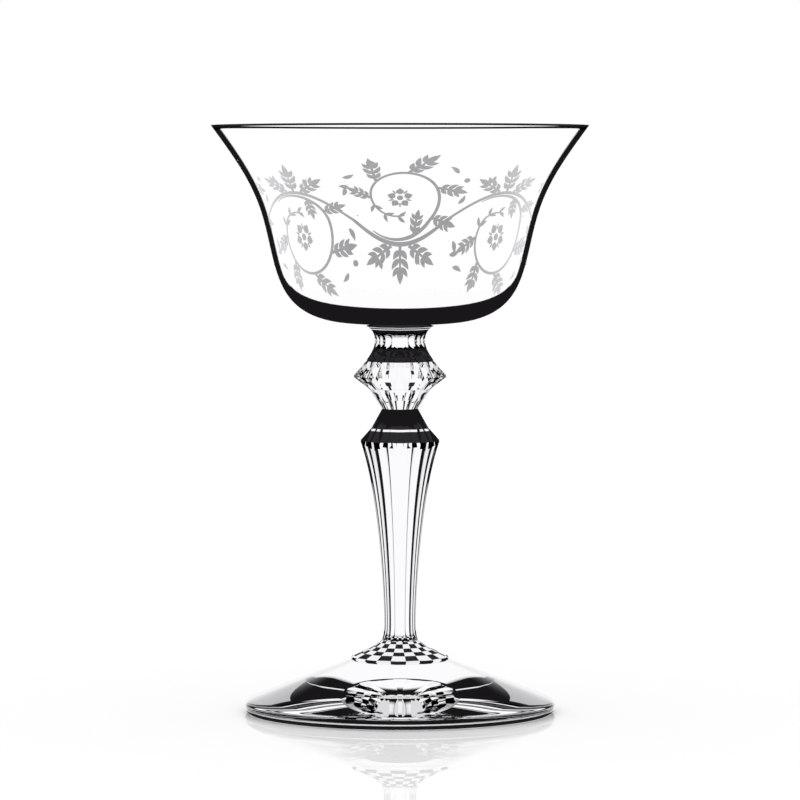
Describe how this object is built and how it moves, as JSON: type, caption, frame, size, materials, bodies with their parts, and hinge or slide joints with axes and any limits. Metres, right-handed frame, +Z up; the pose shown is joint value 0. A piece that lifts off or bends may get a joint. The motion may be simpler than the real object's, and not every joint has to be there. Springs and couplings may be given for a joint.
{
  "type": "stemmed cocktail glass",
  "caption": "Clear crystal cocktail glass: flared bowl with a grey printed scroll frieze on a faceted collar, knop and baluster stem over a round foot.",
  "frame": {"origin": "middle of the flat ring that the foot stands on, on the table plane", "axes": "+Z up along the glass's axis of turning; an arris between two flats of the cut stem faces -Y, which is the front in the picture, and +X is to the right"},
  "size_m": [0.095, 0.095, 0.1485],
  "materials": {
    "foot_glass": "clear polished crystal",
    "cut_glass": "clear crystal, cut and polished in flats",
    "bowl_glass": "clear thin-blown crystal, fire-polished",
    "print": "fired satin grey enamel print"
  },
  "bodies": {
    "root": {"foot": "foot_glass", "foot_crown": "cut_glass", "stem": "cut_glass", "knop": "cut_glass", "collar": "cut_glass", "bowl": "bowl_glass", "printed_frieze": "print"}
  },
  "joints": []
}
